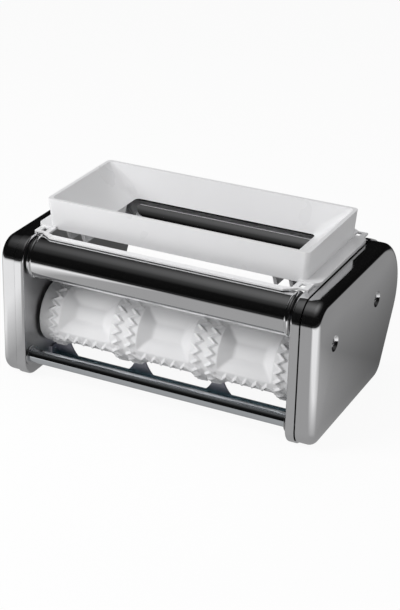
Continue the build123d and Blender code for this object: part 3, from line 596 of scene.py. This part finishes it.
def roller_tree(material, sizes):
    """A cylinder whose radius follows a rule: base, toothed ribs and soft pockets."""
    kinds = {float: "NodeSocketFloat", int: "NodeSocketInt"}
    inputs = [(label, kinds[type(default)], default) for label, default in sizes.items()]
    tree, given = new_tree("Toothed Roller", inputs)
    value = given.outputs
    rule = Rule(tree)

    # A flat grid, as long as the roller and a full turn wide, with a little over for the closed ends.
    grid = tree.nodes.new("GeometryNodeMeshGrid")
    tree.links.new(value["Along"], grid.inputs["Vertices X"])
    tree.links.new(value["Around"], grid.inputs["Vertices Y"])
    overlong = rule.of("MULTIPLY", value["Half Length"], 2.0 * GRID_OVERLENGTH)
    tree.links.new(overlong, grid.inputs["Size X"])
    grid.inputs["Size Y"].default_value = 2 * pi
    place = tree.nodes.new("ShaderNodeSeparateXYZ")
    tree.links.new(tree.nodes.new("GeometryNodeInputPosition").outputs["Position"], place.inputs["Vector"])
    along, angle = place.outputs["X"], place.outputs["Y"]

    # Where a point lies in its cell: across the nearest row, from the last row, and along the cell.
    around = rule.of("MULTIPLY", rule.of("SUBTRACT", angle, value["Start"]), value["Tip"])
    half_arc = rule.of("MULTIPLY", value["Row Arc"], 0.5)
    across = rule.of("WRAP", around, half_arc, rule.of("MULTIPLY", half_arc, -1.0))
    from_row = rule.of("WRAP", around, value["Row Arc"], 0.0)
    half_pitch = rule.of("MULTIPLY", value["Pitch"], 0.5)
    in_cell = rule.of("WRAP", along, half_pitch, rule.of("MULTIPLY", half_pitch, -1.0))
    half_cell = rule.of("MULTIPLY", value["Cell"], 0.5)

    # Distance from the toothed rings at both ends of the cell.
    ring_wave = rule.zigzag(from_row, value["Tooth Step"], value["Swing"])
    left = rule.of("ABSOLUTE", rule.of("SUBTRACT", rule.of("ADD", in_cell, half_cell), ring_wave))
    right = rule.of("ABSOLUTE", rule.of("SUBTRACT", rule.of("SUBTRACT", in_cell, half_cell), ring_wave))
    ring = rule.of("MINIMUM", left, right)

    # Distance from the toothed row, which has a plain leg at each end.
    leg = value["Row Leg"]
    past_leg = rule.of("SUBTRACT", rule.of("ADD", in_cell, half_cell), leg)
    span = rule.of("SUBTRACT", value["Cell"], rule.of("MULTIPLY", leg, 2.0))
    ease = rule.of("DIVIDE", value["Row Step"], leg)
    first_leg = rule.of("MULTIPLY", rule.of("MINIMUM", past_leg, 0.0), ease)
    last_leg = rule.of("MULTIPLY", rule.of("MAXIMUM", rule.of("SUBTRACT", past_leg, span), 0.0), ease)
    toothed = rule.of("MAXIMUM", rule.of("MINIMUM", past_leg, span), 0.0)
    row_run = rule.of("ADD", toothed, rule.of("ADD", first_leg, last_leg))
    row_wave = rule.zigzag(row_run, value["Row Step"], value["Swing"])
    row = rule.of("ABSOLUTE", rule.of("ADD", across, row_wave))
    outside = rule.of("GREATER_THAN", rule.of("ABSOLUTE", in_cell), half_cell)
    row = rule.of("ADD", row, outside)

    # The rib's profile over the nearer of the two, with none past the outermost cells.
    half_length_of_cells = rule.of("MULTIPLY", value["Pitch"], 0.5 * CELLS_ALONG)
    past_cells = rule.of("GREATER_THAN", rule.of("ABSOLUTE", along), half_length_of_cells)
    square_on = rule.of("MULTIPLY", rule.of("MINIMUM", ring, row), TOOTH_SLANT)
    nearest = rule.of("ADD", square_on, past_cells)
    half_foot = rule.of("MULTIPLY", value["Foot"], 0.5)
    half_crest = rule.of("MULTIPLY", value["Crest"], 0.5)
    slope_run = rule.of("SUBTRACT", half_foot, half_crest)
    climb = rule.clamped(rule.of("DIVIDE", rule.of("SUBTRACT", half_foot, nearest), slope_run))
    rib = rule.of("MULTIPLY", climb, value["Rib"])

    # The pocket's depth, from its sloping walls and its floor.
    middle_out = rule.of("ABSOLUTE", rule.of("SUBTRACT", from_row, half_arc))
    half_pocket = rule.of("MULTIPLY", value["Pocket Length"], 0.5)
    half_mouth = rule.of("MULTIPLY", value["Pocket Width"], 0.5)
    end_room = rule.of("SUBTRACT", half_pocket, rule.of("ABSOLUTE", in_cell))
    side_room = rule.of("SUBTRACT", half_mouth, middle_out)
    end_depth = rule.of("DIVIDE", end_room, value["End Draft"])
    side_depth = rule.of("DIVIDE", side_room, value["Side Draft"])
    wall = rule.of("SMOOTH_MIN", end_depth, side_depth, value["Blend"])
    hollow = rule.of("SMOOTH_MIN", wall, value["Pocket"], value["Blend"])
    depth = rule.of("MAXIMUM", hollow, 0.0)

    # Past the roller's ends the grid folds in to the shaft.
    base = rule.of("SUBTRACT", value["Tip"], value["Rib"])
    height = rule.of("SUBTRACT", rule.of("ADD", base, rib), depth)
    past_end = rule.of("GREATER_THAN", rule.of("ABSOLUTE", along), value["Half Length"])
    in_body = rule.of("SUBTRACT", 1.0, past_end)
    bore = rule.of("MULTIPLY", value["Shaft"], past_end)
    radius = rule.of("ADD", rule.of("MULTIPLY", height, in_body), bore)
    left_end = rule.of("MULTIPLY", value["Half Length"], -1.0)
    level = rule.of("MAXIMUM", rule.of("MINIMUM", along, value["Half Length"]), left_end)

    point = tree.nodes.new("ShaderNodeCombineXYZ")
    tree.links.new(level, point.inputs["X"])
    tree.links.new(rule.of("MULTIPLY", radius, rule.of("COSINE", angle)), point.inputs["Y"])
    tree.links.new(rule.of("MULTIPLY", radius, rule.of("SINE", angle)), point.inputs["Z"])
    move = tree.nodes.new("GeometryNodeSetPosition")
    close = tree.nodes.new("GeometryNodeMergeByDistance")
    close.inputs["Distance"].default_value = SEAM_GAP
    tree.links.new(grid.outputs["Mesh"], move.inputs["Geometry"])
    tree.links.new(point.outputs["Vector"], move.inputs["Position"])
    tree.links.new(move.outputs["Geometry"], close.inputs["Geometry"])
    finish_tree(tree, close.outputs["Geometry"], material)
    return tree


def screw_head(radius, height, recess):
    """A pan head that faces +X, with a cross pressed into it."""
    bm = bmesh.new()
    spokes, rings = 48, 12
    reach, half_slot, drop = 0.62 * radius, 0.16 * radius, 0.55
    loops = [[bm.verts.new((0, y, z)) for y, z in spoked(radius, spokes)]]
    for ring in range(rings):
        share = 1 - ring / rings
        crown = height * (1 - drop * share ** 4)
        loop = []
        for y, z in spoked(radius * share, spokes):
            inside = min(abs(y), abs(z)) < half_slot and max(abs(y), abs(z)) < reach
            loop.append(bm.verts.new((crown - recess * inside, y, z)))
        loops.append(loop)
    for first, second in zip(loops, loops[1:]):
        band(bm, first, second)
    bm.faces.new(list(reversed(loops[0])))
    bm.faces.new(loops[-1])
    bmesh.ops.recalc_face_normals(bm, faces=bm.faces)
    return mesh_from(bm, "screw_head", radians(50))


def washer_mesh(sizes):
    """A flat ring along +X with turned-down edges."""
    outer, inner, thick, edge = sizes.washer, sizes.washer_hole, sizes.washer_sheet, sizes.washer_edge
    profile = [(0, inner), (0, outer - edge), (edge, outer)]
    profile += [(thick - x, radius) for x, radius in reversed(profile)]
    bm = bmesh.new()
    spokes = 64
    loops = [[bm.verts.new((x, y, z)) for y, z in spoked(radius, spokes)] for x, radius in profile]
    for k in range(len(loops)):
        band(bm, loops[k], loops[(k + 1) % len(loops)])
    bmesh.ops.recalc_face_normals(bm, faces=bm.faces)
    return mesh_from(bm, "washer", radians(30))


def islands(node):
    """The boxes of a CAD node's separate solids, as lowest and highest corners."""
    bm = merged_copy(node)
    left = set(bm.verts)
    boxes = []
    while left:
        reached, edge = set(), {left.pop()}
        while edge:
            reached |= edge
            edge = {e.other_vert(v) for v in edge for e in v.link_edges} - reached
        left -= reached
        places = [v.co.copy() for v in reached]
        low = Vector(min(p[k] for p in places) for k in range(3))
        high = Vector(max(p[k] for p in places) for k in range(3))
        boxes.append((low, high))
    bm.free()
    return boxes


def scattered(name, template, points, turn, material, body, slot, nodes):
    """One template set on several points by the fastener tree."""
    holder = bpy.data.objects.new("template", template)
    bpy.context.scene.collection.objects.link(holder)
    seed = bpy.data.meshes.new("points")
    seed.from_pydata(points, [], [])
    mesh = grow(fastener_tree(material), seed, {"Fastener": holder, "Turn": turn})
    bpy.data.objects.remove(holder)
    return add_piece(name, mesh, material, body, slot, *nodes)


class RAVIOLI_OT_covers(Operator):
    """Make the front and rear chrome covers with their rolled edges"""

    bl_idname = "ravioli.covers"
    bl_label = "Covers"

    def execute(self, context):
        sizes = context.scene.ravioli_covers
        half = sizes.half_length - sizes.bead
        front_rod = (sizes.front_y + sizes.front_crest, sizes.rod_z)
        rear_rod = (sizes.rear_crest_y, sizes.rod_z)
        tree = rolled_edge_tree("Polished Cover")
        for side, line, rod in (("front", front_line, front_rod), ("rear", rear_line, rear_rod)):
            node = f"{side}_cover"
            mesh = cover_mesh(sizes, line, rod)
            add_piece(f"{node}_sheet", mesh, "Polished Cover", "housing", "dough_cover", node)
            run = line(sizes, sizes.bead_sink)
            paths = path_mesh([[(x, y, z) for y, z in run] for x in (-half, half)])
            beads = grow(tree, paths, {"Radius": sizes.bead})
            add_piece(f"{node}_edges", beads, "Polished Cover", "housing", "dough_cover")
        return {"FINISHED"}


class RAVIOLI_OT_ends(Operator):
    """Finish the pressed side plates and the deep-drawn ends"""

    bl_idname = "ravioli.ends"
    bl_label = "Ends"

    def execute(self, context):
        for side in ("left", "right"):
            softened(f"{side}_side_plate", "Pressed Plate", "housing", "side_plate", 0)
            softened(f"{side}_outer_cover", "Deep-Drawn End", "housing", "outer_cover", 0)
        softened("crank_bush", "Crank Nylon", "housing", "crank_bush", 0.2)
        return {"FINISHED"}


class RAVIOLI_OT_rollers(Operator):
    """Make both toothed rollers from the rule of their surface"""

    bl_idname = "ravioli.rollers"
    bl_label = "Rollers"

    def execute(self, context):
        sizes = context.scene.ravioli_rollers
        arc_length = 2 * pi * sizes.tip / sizes.rows
        values = {
            "Tip": sizes.tip, "Rib": sizes.rib, "Crest": sizes.crest, "Foot": sizes.foot,
            "Swing": sizes.swing, "Cell": sizes.cell, "Pitch": sizes.pitch,
            "Half Length": sizes.half_length, "Shaft": sizes.shaft,
            "Pocket": sizes.pocket, "Pocket Length": sizes.pocket_length, "Pocket Width": sizes.pocket_width,
            "End Draft": sizes.end_draft, "Side Draft": sizes.side_draft, "Blend": sizes.blend,
            "Start": sizes.start, "Row Leg": sizes.row_leg, "Row Arc": arc_length,
            "Row Step": (sizes.cell - 2 * sizes.row_leg) / sizes.row_steps,
            "Tooth Step": arc_length / (2 * sizes.teeth), "Along": sizes.along, "Around": sizes.around,
        }
        tree = roller_tree("Roller Plastic", values)
        rolled = grow(tree, bpy.data.meshes.new("seed"), values)
        for side, mirrored in (("front", 1), ("rear", -1)):
            low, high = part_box(f"{side}_roller")
            bm = bmesh.new()
            bm.from_mesh(rolled)
            bm.transform(Matrix.Scale(mirrored, 4, (0, 1, 0)))
            bm.transform(Matrix.Translation((low + high) / 2))
            bmesh.ops.recalc_face_normals(bm, faces=bm.faces)
            mesh = mesh_from(bm, "roller", radians(75))
            node = f"{side}_roller"
            add_piece(f"{node}_body", mesh, "Roller Plastic", f"{node}_set", "roller", node)
        return {"FINISHED"}


class RAVIOLI_OT_drive(Operator):
    """Finish the shafts, gears, keys, clips and bushes"""

    bl_idname = "ravioli.drive"
    bl_label = "Drive"

    def execute(self, context):
        for side in ("front", "rear"):
            body = f"{side}_roller_set"
            softened(f"{side}_shaft", "Ground Shaft", body, "shaft", 0.2)
            softened(f"{side}_gear", "Cut Gear", body, "gear", 0.15)
            softened(f"{side}_gear_key", "Zinc Screw", body, "fastener", 0.15)
            softened(f"{side}_shaft_clip", "Zinc Screw", body, "fastener", 0.1)
            for end in ("left", "right"):
                softened(f"{side}_{end}_bush", "Turned Bush", "housing", "bush", 0.15)
        return {"FINISHED"}


class RAVIOLI_OT_rods(Operator):
    """Finish the tie rods and combs"""

    bl_idname = "ravioli.rods"
    bl_label = "Rods and Combs"

    def execute(self, context):
        for side in ("front", "rear"):
            for level in ("lower", "upper"):
                softened(f"{side}_{level}_tie_rod", "Bright Bar", "housing", "tie_rod", 0.3)
            softened(f"{side}_comb", "Comb Sheet", "housing", "comb", 0.15)
        return {"FINISHED"}


class RAVIOLI_OT_fasteners(Operator):
    """Set the screws, nuts, posts and washers"""

    bl_idname = "ravioli.fasteners"
    bl_label = "Fasteners"

    def execute(self, context):
        sizes = context.scene.ravioli_screws
        for side, way in (("left", -1), ("right", 1)):
            for kind, radius in (("cover", sizes.cover_head), ("comb", sizes.comb_head)):
                node = f"{side}_{kind}_screws"
                self.add_screws(node, way, radius, sizes)
            for kind in ("rod_nuts", "cover_posts"):
                softened(f"{side}_{kind}", "Zinc Screw", "housing", "fastener", 0.2)
        boxes = islands("rod_washers")
        points = [(low.x, (low.y + high.y) / 2, (low.z + high.z) / 2) for low, high in boxes]
        ring = washer_mesh(sizes)
        scattered("rod_washer_set", ring, points, 0.0, "Zinc Screw", "housing", "tie_rod", ["rod_washers"])
        return {"FINISHED"}

    def add_screws(self, node, way, radius, sizes):
        """Domed heads where the CAD screws end, over their plain shanks."""
        boxes = islands(node)
        height = min(sizes.head_height, 0.9 * sizes.head_height * radius / sizes.cover_head)
        points = []
        for low, high in boxes:
            tip = high.x if way > 0 else low.x
            points.append((tip - way * height, (low.y + high.y) / 2, (low.z + high.z) / 2))
        turn = 0.0 if way > 0 else pi
        head = screw_head(radius, height, sizes.recess)
        scattered(f"{node}_heads", head, points, turn, "Zinc Screw", "housing", "fastener", [node])
        shanks = bmesh.new()
        shank = 0.55 * radius
        for low, high in boxes:
            middle = ((low.x + high.x) / 2 - way * height / 2, (low.y + high.y) / 2, (low.z + high.z) / 2)
            length = high.x - low.x - height
            turned = Matrix.Translation(middle) @ Matrix.Rotation(pi / 2, 4, "Y")
            ends = {"radius1": shank, "radius2": shank, "depth": length, "segments": 32, "cap_ends": True}
            bmesh.ops.create_cone(shanks, matrix=turned, **ends)
        mesh = mesh_from(shanks, "shanks")
        add_piece(f"{node}_shanks", mesh, "Zinc Screw", "housing", "fastener")


class RAVIOLI_OT_hopper(Operator):
    """Finish the hopper"""

    bl_idname = "ravioli.hopper"
    bl_label = "Hopper"

    def execute(self, context):
        softened("hopper", "Hopper Plastic", "hopper", "hopper", 0.45, radians(28))
        return {"FINISHED"}


# Stage.

# How bright polished metal mirrors the floor: under the object and beside it, in front of it and behind it,
# and near and far, each with the two places between which it changes.
MIRROR_UNDER, MIRROR_BESIDE = 0.4, 1.0
BESIDE_FROM, BESIDE_TO = 0.11, 0.16
MIRROR_FRONT, MIRROR_BEHIND = 1.0, 0.3
BEHIND_FROM, BEHIND_TO = -0.08, 0.06
MIRROR_NEAR, MIRROR_FAR = 1.0, 0.02
FAR_FROM, FAR_TO = 0.32, 0.5

# The grey that polished metal mirrors from the level up to straight overhead.
CEILING = [(0.0, 0.004), (0.6, 0.006), (0.82, 0.05), (0.94, 0.14), (1.0, 0.22)]

# The lamps' places and widths, all turned to one point.
LAMP_AIM = (0, 0, 0.06)
KEY_PLACE, FILL_PLACE, TOP_PLACE = (-0.55, -0.55, 0.55), (0.8, -0.3, 0.45), (-0.1, 0.15, 0.9)
SIDE_LAMP_WIDTH, TOP_LAMP_WIDTH = 0.5, 0.6


def emission(tree, colour, strength=1.0):
    node = add_node(tree, "ShaderNodeEmission", Strength=strength)
    if isinstance(colour, tuple):
        node.inputs["Color"].default_value = (*colour, 1)
    else:
        tree.links.new(colour, node.inputs["Color"])
    return node.outputs["Emission"]


def mixed(tree, amount, first, second):
    node = tree.nodes.new("ShaderNodeMixShader")
    if isinstance(amount, float):
        node.inputs["Fac"].default_value = amount
    else:
        tree.links.new(amount, node.inputs["Fac"])
    tree.links.new(first, node.inputs[1])
    tree.links.new(second, node.inputs[2])
    return node.outputs["Shader"]


def blended(tree, source, start, end, before, after):
    """A value that changes from one level to another between two places."""
    node = add_node(tree, "ShaderNodeMapRange", From_Min=start, From_Max=end, To_Min=before, To_Max=after)
    tree.links.new(source, node.inputs["Value"])
    return node.outputs["Result"]


def floor_material(whiteness):
    """A pale floor: near white to the camera, with soft bright sides where metal mirrors it."""
    material = bpy.data.materials.new("Pale Floor")
    material.use_nodes = True
    tree = material.node_tree
    tree.nodes.clear()
    rays = tree.nodes.new("ShaderNodeLightPath")
    diffuse = add_node(tree, "ShaderNodeBsdfDiffuse", Color=(0.9, 0.9, 0.9, 1))
    rule = Rule(tree)
    spot = tree.nodes.new("ShaderNodeSeparateXYZ")
    tree.links.new(tree.nodes.new("ShaderNodeTexCoord").outputs["Object"], spot.inputs["Vector"])
    out_x = rule.of("ABSOLUTE", spot.outputs["X"])
    out_y = rule.of("ABSOLUTE", spot.outputs["Y"])
    away = rule.of("SQRT", rule.of("ADD", rule.of("POWER", out_x, 2.0), rule.of("POWER", out_y, 2.0)), 0.0)
    beside = blended(tree, out_x, BESIDE_FROM, BESIDE_TO, MIRROR_UNDER, MIRROR_BESIDE)
    behind = blended(tree, spot.outputs["Y"], BEHIND_FROM, BEHIND_TO, MIRROR_FRONT, MIRROR_BEHIND)
    far = blended(tree, away, FAR_FROM, FAR_TO, MIRROR_NEAR, MIRROR_FAR)
    bright = rule.of("MULTIPLY", rule.of("MULTIPLY", beside, behind), far)
    grey = tree.nodes.new("ShaderNodeCombineColor")
    for channel in ("Red", "Green", "Blue"):
        tree.links.new(bright, grey.inputs[channel])
    mirrored = emission(tree, grey.outputs["Color"])
    shown = mixed(tree, whiteness, diffuse.outputs["BSDF"], emission(tree, (1.0, 1.0, 1.0)))
    shader = mixed(tree, rays.outputs["Is Camera Ray"], diffuse.outputs["BSDF"], shown)
    shader = mixed(tree, rays.outputs["Is Glossy Ray"], shader, mirrored)
    output = tree.nodes.new("ShaderNodeOutputMaterial")
    tree.links.new(shader, output.inputs["Surface"])
    return material


def studio_world(ambient):
    """White behind the object, plain light from all round, and a dark ceiling where metal mirrors it."""
    world = bpy.data.worlds.new("Studio")
    bpy.context.scene.world = world
    world.use_nodes = True
    tree = world.node_tree
    tree.nodes.clear()
    rays = tree.nodes.new("ShaderNodeLightPath")
    way = tree.nodes.new("ShaderNodeSeparateXYZ")
    tree.links.new(tree.nodes.new("ShaderNodeTexCoord").outputs["Generated"], way.inputs["Vector"])
    ceiling = shades(tree, way.outputs["Z"], [(place, (grey, grey, grey)) for place, grey in CEILING])
    plain = add_node(tree, "ShaderNodeBackground", Color=(1, 1, 1, 1), Strength=ambient).outputs["Background"]
    white = add_node(tree, "ShaderNodeBackground", Color=(1, 1, 1, 1), Strength=1.0).outputs["Background"]
    mirrored = add_node(tree, "ShaderNodeBackground", Strength=1.0)
    tree.links.new(ceiling, mirrored.inputs["Color"])
    shader = mixed(tree, rays.outputs["Is Camera Ray"], plain, white)
    shader = mixed(tree, rays.outputs["Is Glossy Ray"], shader, mirrored.outputs["Background"])
    output = tree.nodes.new("ShaderNodeOutputWorld")
    tree.links.new(shader, output.inputs["Surface"])


def soft_lamp(name, place, width, power):
    """A large square lamp that metal doesn't mirror."""
    data = bpy.data.lights.new(name, "AREA")
    data.shape = "SQUARE"
    data.size = width
    data.energy = power
    lamp = bpy.data.objects.new(name, data)
    bpy.context.scene.collection.objects.link(lamp)
    towards = Vector(LAMP_AIM) - Vector(place)
    lamp.matrix_world = Matrix.Translation(place) @ towards.to_track_quat("-Z", "Y").to_matrix().to_4x4()
    lamp.visible_glossy = False


def photo_camera():
    """The camera where the photograph was taken from."""
    data = bpy.data.cameras.new("Camera")
    camera = bpy.data.objects.new("Camera", data)
    bpy.context.scene.collection.objects.link(camera)
    bpy.context.scene.camera = camera
    az, el, roll = CAMERA_AZIMUTH, CAMERA_ELEVATION, CAMERA_ROLL
    back = Vector((sin(az) * cos(el), -cos(az) * cos(el), sin(el)))
    right = Vector((cos(az), sin(az), 0))
    up = back.cross(right)
    turned_right = right * cos(roll) + up * sin(roll)
    turned_up = up * cos(roll) - right * sin(roll)
    place = turned_right * CAMERA_SHIFT[0] + turned_up * CAMERA_SHIFT[1] + back * CAMERA_DISTANCE
    place = (place + Vector((0, CAMERA_Y, 0))) * MM
    turn = Matrix((turned_right, turned_up, back)).transposed().to_4x4()
    camera.matrix_world = Matrix.Translation(place) @ turn
    data.sensor_fit = "VERTICAL"
    data.sensor_height = 24
    data.lens = FOCAL_PIXELS / PHOTO_HEIGHT * 24
    data.shift_x = (PHOTO_WIDTH / 2 - CENTRE_PIXELS[0]) / PHOTO_HEIGHT
    data.shift_y = -(PHOTO_HEIGHT / 2 - CENTRE_PIXELS[1]) / PHOTO_HEIGHT
    data.clip_start = 0.01


class RAVIOLI_OT_stage(Operator):
    """Set the pale floor, the soft lamps, the surroundings and the camera"""

    bl_idname = "ravioli.stage"
    bl_label = "Stage"

    def execute(self, context):
        sizes = context.scene.ravioli_stage
        half = sizes.floor / 2
        mesh = bpy.data.meshes.new("floor")
        corners = [(-half, -half, 0), (half, -half, 0), (half, half, 0), (-half, half, 0)]
        mesh.from_pydata(corners, [], [(0, 1, 2, 3)])
        mesh.materials.append(floor_material(sizes.whiteness))
        floor = bpy.data.objects.new("floor", mesh)
        context.scene.collection.objects.link(floor)
        studio_world(sizes.ambient)
        soft_lamp("Key", KEY_PLACE, SIDE_LAMP_WIDTH, sizes.key)
        soft_lamp("Fill", FILL_PLACE, SIDE_LAMP_WIDTH, sizes.fill)
        soft_lamp("Top", TOP_PLACE, TOP_LAMP_WIDTH, sizes.top)
        photo_camera()
        context.scene.view_settings.view_transform = "Standard"
        return {"FINISHED"}


class RAVIOLI_PT_sidebar(Panel):
    """The ravioli maker's pieces and sizes"""

    bl_idname = "RAVIOLI_PT_sidebar"
    bl_label = "Ravioli Maker"
    bl_space_type = "VIEW_3D"
    bl_region_type = "UI"
    bl_category = "Ravioli Maker"

    def draw(self, context):
        for operator in OPERATORS:
            self.layout.operator(operator.bl_idname)
        for name in GROUPS:
            box = self.layout.box()
            for prop in getattr(context.scene, name).bl_rna.properties:
                if prop.identifier not in ("rna_type", "name"):
                    box.prop(getattr(context.scene, name), prop.identifier)


OPERATORS = (
    RAVIOLI_OT_covers,
    RAVIOLI_OT_ends,
    RAVIOLI_OT_rollers,
    RAVIOLI_OT_drive,
    RAVIOLI_OT_rods,
    RAVIOLI_OT_fasteners,
    RAVIOLI_OT_hopper,
    RAVIOLI_OT_stage,
)
GROUPS = {
    "ravioli_covers": RavioliCoverSizes,
    "ravioli_rollers": RavioliRollerSizes,
    "ravioli_screws": RavioliScrewSizes,
    "ravioli_colours": RavioliColours,
    "ravioli_stage": RavioliStage,
}


def register():
    for group in GROUPS.values():
        bpy.utils.register_class(group)
    for operator in OPERATORS:
        bpy.utils.register_class(operator)
    bpy.utils.register_class(RAVIOLI_PT_sidebar)
    for name, group in GROUPS.items():
        setattr(bpy.types.Scene, name, PointerProperty(type=group))


def unregister():
    for name in GROUPS:
        delattr(bpy.types.Scene, name)
    bpy.utils.unregister_class(RAVIOLI_PT_sidebar)
    for operator in reversed(OPERATORS):
        bpy.utils.unregister_class(operator)
    for group in reversed(GROUPS.values()):
        bpy.utils.unregister_class(group)


def main():
    register()
    for operator in OPERATORS:
        group, name = operator.bl_idname.split(".")
        getattr(getattr(bpy.ops, group), name)()


if __name__ == "__main__":
    main()
